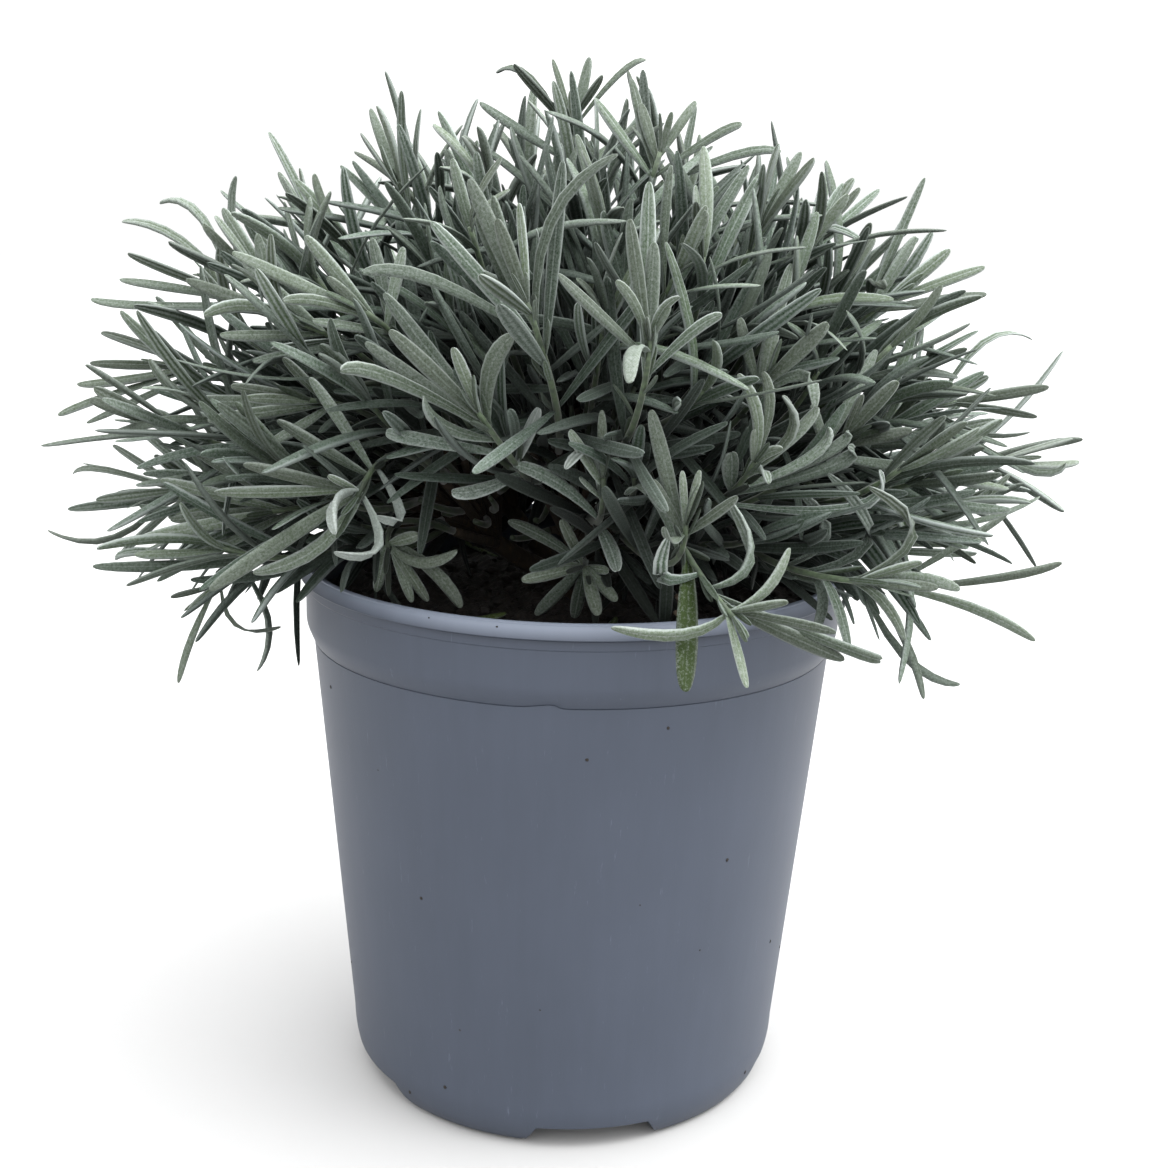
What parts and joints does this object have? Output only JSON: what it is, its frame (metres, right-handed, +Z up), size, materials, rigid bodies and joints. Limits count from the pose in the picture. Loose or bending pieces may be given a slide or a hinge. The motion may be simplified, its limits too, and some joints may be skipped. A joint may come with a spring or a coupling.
{
  "type": "potted lavender",
  "caption": "Lavender plant out of flower, a dome of narrow grey-green felted leaves on a branched woody base, growing in moist peat in a plain grey plastic nursery pot.",
  "frame": {"origin": "on the ground at the centre of the pot's foot", "axes": "+Z up along the pot's axis, -Y towards the side the picture shows, +X to its right"},
  "size_m": [0.3649, 0.2941, 0.3524],
  "materials": {
    "pot_plastic": "satin moulded polypropylene",
    "peat": "moist milled peat",
    "bark": "rough bark",
    "leaf": "felted leaf"
  },
  "bodies": {
    "root": {"pot": "pot_plastic", "soil": "peat", "woody_base": "bark", "leafy_shoot_01": "leaf", "leafy_shoot_02": "leaf", "leafy_shoot_03": "leaf", "leafy_shoot_04": "leaf", "leafy_shoot_05": "leaf", "leafy_shoot_06": "leaf", "leafy_shoot_07": "leaf", "leafy_shoot_08": "leaf", "leafy_shoot_09": "leaf", "leafy_shoot_10": "leaf", "leafy_shoot_11": "leaf", "leafy_shoot_12": "leaf", "leafy_shoot_13": "leaf", "leafy_shoot_14": "leaf", "leafy_shoot_15": "leaf", "leafy_shoot_16": "leaf", "leafy_shoot_17": "leaf", "leafy_shoot_18": "leaf", "leafy_shoot_19": "leaf", "leafy_shoot_20": "leaf", "leafy_shoot_21": "leaf", "leafy_shoot_22": "leaf", "leafy_shoot_23": "leaf", "leafy_shoot_24": "leaf", "leafy_shoot_25": "leaf", "leafy_shoot_26": "leaf", "leafy_shoot_27": "leaf", "leafy_shoot_28": "leaf", "leafy_shoot_29": "leaf", "leafy_shoot_30": "leaf", "leafy_shoot_31": "leaf", "leafy_shoot_32": "leaf", "leafy_shoot_33": "leaf", "leafy_shoot_34": "leaf", "leafy_shoot_35": "leaf", "leafy_shoot_36": "leaf", "leafy_shoot_37": "leaf", "leafy_shoot_38": "leaf", "leafy_shoot_39": "leaf", "leafy_shoot_40": "leaf", "leafy_shoot_41": "leaf", "leafy_shoot_42": "leaf", "leafy_shoot_43": "leaf", "leafy_shoot_44": "leaf", "leafy_shoot_45": "leaf", "leafy_shoot_46": "leaf", "leafy_shoot_47": "leaf", "leafy_shoot_48": "leaf", "leafy_shoot_49": "leaf"}
  },
  "joints": []
}
